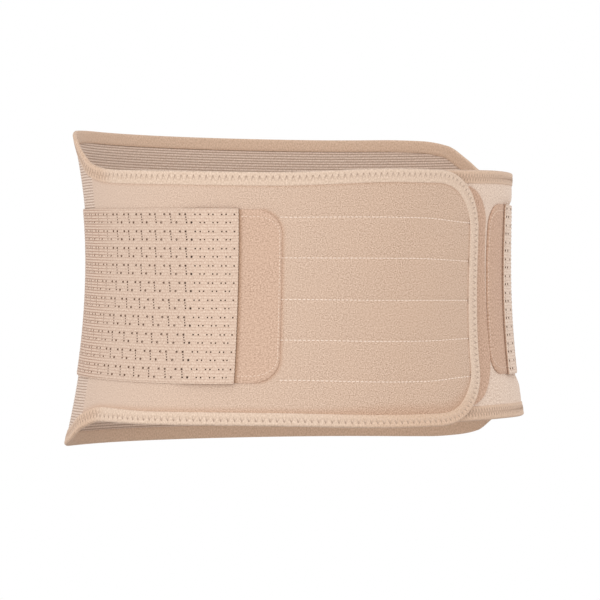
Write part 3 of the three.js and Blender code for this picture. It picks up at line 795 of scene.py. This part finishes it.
rib, lowerRow = strapCut["rib"], strapCut["lowerRow"]
groupHeight = strapCut["groupRibs"] * rib
firstHole = strapCut["width"] - strapCut["firstHole"]
strapWall = strapCut["thickness"] + strapCut["hem"]
for name, strap in straps.items():
    side = strap["side"]
    corner = tabCut["corner"]

    def tabOutline(along, share):
        drop = tabCut["inset"] + cornerDrop(corner, strap["tabFront"] - np.abs(along))
        return along, drop + share * (strapCut["width"] - 2 * drop)

    def placeTab(along, offset):
        at, height, seat = strapPlace(strap, along, offset)
        fromFront = strap["tabFront"] - np.abs(along)
        fromSide = np.minimum(offset, strapCut["width"] - offset) - tabCut["inset"]
        inCorner = np.hypot(np.clip(corner - fromFront, 0, corner), np.clip(corner - fromSide, 0, corner))
        rounded = (fromFront < corner) & (fromSide < corner)
        inside = np.where(rounded, corner - inCorner, np.minimum(fromFront, fromSide))
        thinning, width = tabCut["edgeRound"]
        share = 1 - thinning * np.exp(-(inside / width) ** 2)
        return at, height, seat + share * tabCut["thickness"] / 2, share

    straight = np.arange(strap["tabBack"], strap["tabFront"] - corner, tabCut["columnStep"])
    curved = strap["tabFront"] - corner * (1 - np.sin(np.linspace(0, math.pi / 2, 15)))
    columns = np.sort(side * np.concatenate([straight, curved]))
    piece = cutCloth(name + "_hook_tab", columns, np.linspace(0, 1, tabCut["rows"]), tabOutline)
    # distance past the strap's front end, for the painted shadow the strap's end throws on the tab
    fromStrap = np.maximum(np.abs(readVerts(piece)[:, 0]) / mm - strap["frontEnd"], 0)
    writeValue(piece, "fromEdge", fromStrap * tabCut["shade"])
    # the left tab takes the closure strip's fabric, which it resembles, a little darker than the right tab's:
    # partly painted shade
    wrapCloth(piece, placeTab, tabCut["thickness"], (hookCloth if side > 0 else closureCloth,))
    pieces[name + "_hook_tab"] = (piece, name + "_tab", "hook_fabric")

    # the holes repeat in units along the strap and in groups of ribs across it
    marks = [strap["frontEnd"], *strap["marks"]]
    while marks[-1] > strapCut["backEnd"] + strapCut["lastUnit"]:
        marks.append(marks[-1] - strapCut["unit"])
    marks.append(strapCut["backEnd"])
    thirds = [np.linspace(a, b, 4)[:-1] for a, b in zip(marks[:-1], marks[1:])]
    columns = np.concatenate(thirds + [marks[-1:]])
    offsets = [firstHole + k * rib / 2 for k in (1, 2, 3)] + [strapCut["width"], 0]
    offsets += [firstHole - groupHeight * group - drop
                for group in range(strapCut["groups"]) for drop in strapCut["meshRows"]]
    offsets = np.sort([offset for offset in offsets if offset > 0.3 or offset == 0])
    piece = cutCloth(name + "_elastic_strap", np.sort(side * columns), offsets, lambda a, h: (a, h))

    # a unit: a pair of holes, two dots under the front one, then a small and a large hole
    spots = {kind: [] for kind in holeSizes}
    for unit in range(len(marks) - 1):
        line = 3 * unit
        for group in range(strapCut["groups"]):
            upper = firstHole - groupHeight * group
            lower = upper - lowerRow
            pair, small, large = [(line + side, upper), (line, upper)], (line, lower), (line - side, lower)
            dots = [(line, upper - drop) for drop in strapCut["dotRows"]]
            if marks[unit] >= strap["dotsFrom"]:
                spots["sewnHole"] += [*pair, small, large]
            elif marks[unit] < strapCut["drawnTo"]:
                spots["drawnHole"] += [*pair, large]
                spots["drawnSmall"].append(small)
                spots["drawnDot"] += dots
            else:
                spots["hole"] += pair
                spots["smallHole" if strap["pulled"] else "hole"].append(small)
                spots["lowerHole"].append(large)
                spots["dot"] += dots
    firstColumn = 1 if strap["frontEnd"] - marks[1] > 6 else 3
    for kind, places in spots.items():
        flat = readVerts(piece) / mm
        places = [(columns[c], h) for c, h in places if firstColumn <= c < len(columns) - 2]
        wanted = {(round(float(side * a), 2), round(h, 2)) for a, h in places}
        selectVerts(piece, [(round(x, 2), round(y, 2)) in wanted for x, y in flat[:, :2].tolist()])
        bpy.ops.mesh.bevel(offset=holeSizes[kind] * mm, segments=2, profile=strapCut["holeRound"],
                           affect="VERTICES")
        bpy.ops.mesh.delete(type="FACE")
        bpy.ops.object.mode_set(mode="OBJECT")
    flat = readVerts(piece) / mm
    for c, h in spots["hole"] + spots["lowerHole"]:
        if side < 0 and 3 <= c < 6:  # the first holes of this strap are drawn long by the pull
            near = (np.abs(flat[:, 0] + columns[c]) < 1) & (np.abs(flat[:, 1] - h) < 1)
            flat[near, 0] = -columns[c] + strapCut["longHoles"] * (flat[near, 0] + columns[c])

    # the flare of the belt spreads the units towards the lower edge and leans each one forward
    along, down = side * flat[:, 0], 1 - flat[:, 1] / strapCut["width"]
    drop = np.mod(firstHole - flat[:, 1], groupHeight)
    onLower = np.minimum(drop / lowerRow, (groupHeight - drop) / (groupHeight - lowerRow))
    phase = np.interp(along, marks[::-1], np.arange(len(marks))[::-1])
    between = 0.5 - 0.5 * np.cos(2 * math.pi * phase)
    lean = onLower * (strapCut["lowerLean"] + strapCut["pairSpread"] * between)
    lean = lean - (1 - onLower) * strapCut["upperLean"] * between
    behind = strap["marks"][-1] - along
    spread = strapCut["topSpread"] + strapCut["lowSpread"] * down
    spread = spread * np.clip(behind, 0, strapCut["spreadOver"])
    sag = strapCut["sag"] * np.clip(2 * down - 1, 0, 1)
    sag = sag * ease(strap["frontEnd"] - along, 0, strapCut["sagFade"])
    moved = lean * ease(strap["dotsFrom"] - along, 0, strapCut["leanFade"]) - spread + sag
    fade = 1 - ease(behind, strapCut["spreadOver"], strapCut["spreadEnd"])
    flat[:, 0] += side * strap["pulled"] * moved * fade
    writeVerts(piece, flat * mm)

    def placeStrap(along, offset):
        at, height, seat = strapPlace(strap, along, offset)
        settled = strap["tabBack"] - strapCut["settle"]
        clear = strap["tabBack"] - strap["slant"] * strap["frontWidth"] / 2 - 1
        onTab = (tabCut["thickness"] + strapCut["seat"]) * ease(np.abs(at), settled, clear)
        first, last = strapCut["hemOver"]
        hem = strapCut["hem"] * ease(np.abs(along), strap["tabBack"] + first, strap["tabBack"] + last)
        wave = 0.5 - 0.5 * np.cos(2 * math.pi * (offset - firstHole) / rib)
        shallower = strapCut["ribDepth"] - strapCut["frontRib"]
        ribs = strapCut["ribDepth"] - shallower * ease(np.abs(along), *strapCut["ribFade"])
        fromFront = strap["frontEnd"] - np.abs(along)
        edge = np.minimum(np.minimum(offset, strapCut["width"] - offset), fromFront)
        thinning, width = strapCut["edgeRound"]
        wall = strapCut["thickness"] + hem - ribs * wave - thinning * np.exp(-(edge / width) ** 2)
        size, wavelength, width = strapCut["ragged"]
        ragged = size * np.sin(offset * 2 * math.pi / wavelength) * np.exp(-(fromFront / width) ** 2)
        return at + side * ragged, height, seat + onTab + wall / 2, wall / strapWall

    border = brushedCloth(name + "_woven_border_painted_shade", *strap["border"], 0.6)
    endShade = brushedCloth(name + "_folded_end_painted_shadow", *strap["end"], 0.6)
    elastic = ribbedElastic(name + "_perforated_elastic", strapCut["furrow"], strap["yarn"], rib,
                            strapCut["ribPhase"], 1.0, 0.24, strap["tabBack"], 1.07)
    wrapCloth(piece, placeStrap, strapWall, (elastic, holeWallShade, border, endShade), 80, rim=1)

    # painted shade: the walls of the holes keep the dark core colour, the long edges get the darker border
    # and the front end its own
    u, v = readUv(piece, "pattern")
    firstLoops, finish = np.empty((2, len(piece.data.polygons)), int)
    piece.data.polygons.foreach_get("loop_start", firstLoops)
    piece.data.polygons.foreach_get("material_index", finish)
    u, v = np.abs(u[firstLoops]) * clothUnit, v[firstLoops] * clothUnit
    onEnd = np.minimum(u - strapCut["backEnd"], strap["frontEnd"] - u) < 0.1
    onSide = np.minimum(v, strapCut["width"] - v) < 0.1
    finish[(finish == 1) & (onEnd | onSide)] = 2
    finish[(finish == 2) & (strap["frontEnd"] - u < 0.1)] = 3
    piece.data.polygons.foreach_set("material_index", finish)
    pieces[name + "_elastic_strap"] = (piece, name + "_strap", "strap_elastic")

    # stitches round the border of the tab
    stitch = tabCut["stitch"]
    path = [(strap["frontEnd"] + 1, tabCut["inset"] + stitch["insetSide"])]
    for angle in np.linspace(0, math.pi / 2, 12):
        path.append((strap["tabFront"] - corner + (corner - stitch["insetFront"]) * math.sin(angle),
                     tabCut["inset"] + corner - (corner - stitch["insetSide"]) * math.cos(angle)))
    path = np.array(path)
    mirrored = np.stack([path[:, 0], strapCut["width"] - path[:, 1]], 1)[::-1]
    path = np.concatenate([path, mirrored])
    path = pickAt(np.linspace(0, 1, 400), np.linspace(0, 1, len(path)), path)
    at, height, lift, share = placeTab(path[:, 0] * side, path[:, 1])
    line = np.stack([at, height, lift + share * tabCut["thickness"] / 2 + stitch["proud"]], 1)
    piece = sewLines(name + "_tab_stitches", [line], stitch, tabThread)
    pieces[name + "_tab_stitches"] = (piece, None, "hook_fabric")

    # and across the sewn ends of the strap
    stitch = strapCut["stitch"]
    offset = np.linspace(stitch["inset"], strapCut["width"] - stitch["inset"], 200)
    lines = []
    sewnAcross = [strap["tabBack"], strap["frontEnd"] - stitch["fromFront"]]
    for run in sewnAcross + [strapCut["backEnd"] + inset for inset in stitch["fromBack"]]:
        at, height, lift, share = placeStrap(side * run + 0 * offset, offset)
        lines.append(np.stack([at, height, lift + share * strapWall / 2 + stitch["proud"]], 1))
    piece = sewLines(name + "_strap_stitches", lines, stitch, strapThread)
    pieces[name + "_strap_stitches"] = (piece, None, "strap_elastic")
    print(name, "tab and strap made")

# closure hook strip
closure = {
    "start": 56, "end": 98.3, "top": 85.5, "bottom": -79, "topRadius": 33, "bottomRadius": 36,
    "bottomRise": 44, "inner": 1.8, "thickness": 1.5, "columns": 44, "rows": 110, "edgeRound": (0.5, 0.8),
}
start, end = frontCentre + closure["start"], frontCentre + closure["end"]


def closureOutline(along, share):
    low = closure["bottom"] + cornerDrop(closure["bottomRadius"], end - along, closure["bottomRise"])
    high = closure["top"] - cornerDrop(closure["topRadius"], end - along)
    return along, low + share * (high - low)


def placeClosure(along, height):
    thinning, width = closure["edgeRound"]
    share = 1 - thinning * np.exp(-((end - along) / width) ** 2)
    return along, height, closure["inner"] + share * closure["thickness"] / 2, share


columns = end - (end - start) * (1 - np.sin(np.linspace(0, math.pi / 2, closure["columns"])))
piece = cutCloth("closure_strip", columns, np.linspace(0, 1, closure["rows"]), closureOutline)
wrapCloth(piece, placeClosure, closure["thickness"], (closureCloth,))
pieces["closure_strip"] = (piece, "closure_hook", "hook_fabric")
print("closure strip made")

for name, (piece, cadNode, slotName) in pieces.items():
    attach(piece, "root")
    if cadNode:
        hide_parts(cadNode)
print("pieces joined to the frame")

# floor and light
studio = {"floorRadius": 0.8, "floorHeight": -0.32, "lampSize": 1.2,
          "lamps": (((-1.9, -1.7, 0), 22), ((2.2, -1.5, 0.2), 7.5))}  # place in metres, and watts
bpy.ops.object.select_all(action="DESELECT")
bpy.ops.mesh.primitive_circle_add(vertices=96, radius=studio["floorRadius"], fill_type="NGON")
floor = bpy.context.object
floor.name = "floor"
writeVerts(floor, readVerts(floor) + [0, 0, studio["floorHeight"]])
plain, _, shader = newMaterial("pale_floor", 0.9, 0)  # matt backdrop paper: flat and even
shader.inputs["Base Color"].default_value = colour("c9c5c1")
floor.data.materials.append(plain)

world = bpy.data.worlds.new("studio")
scene.world = world
world.use_nodes = True
world.node_tree.nodes["Background"].inputs[0].default_value = (1, 1, 1, 1)
world.node_tree.nodes["Background"].inputs[1].default_value = 1.0
for place, energy in studio["lamps"]:
    bpy.ops.object.light_add(type="AREA", location=place)
    lamp = bpy.context.object
    lamp.data.energy = energy
    lamp.data.size = studio["lampSize"]
    aim = -lamp.location
    lamp.rotation_euler = aim.to_track_quat("-Z", "Y").to_euler()
print("floor and light placed")
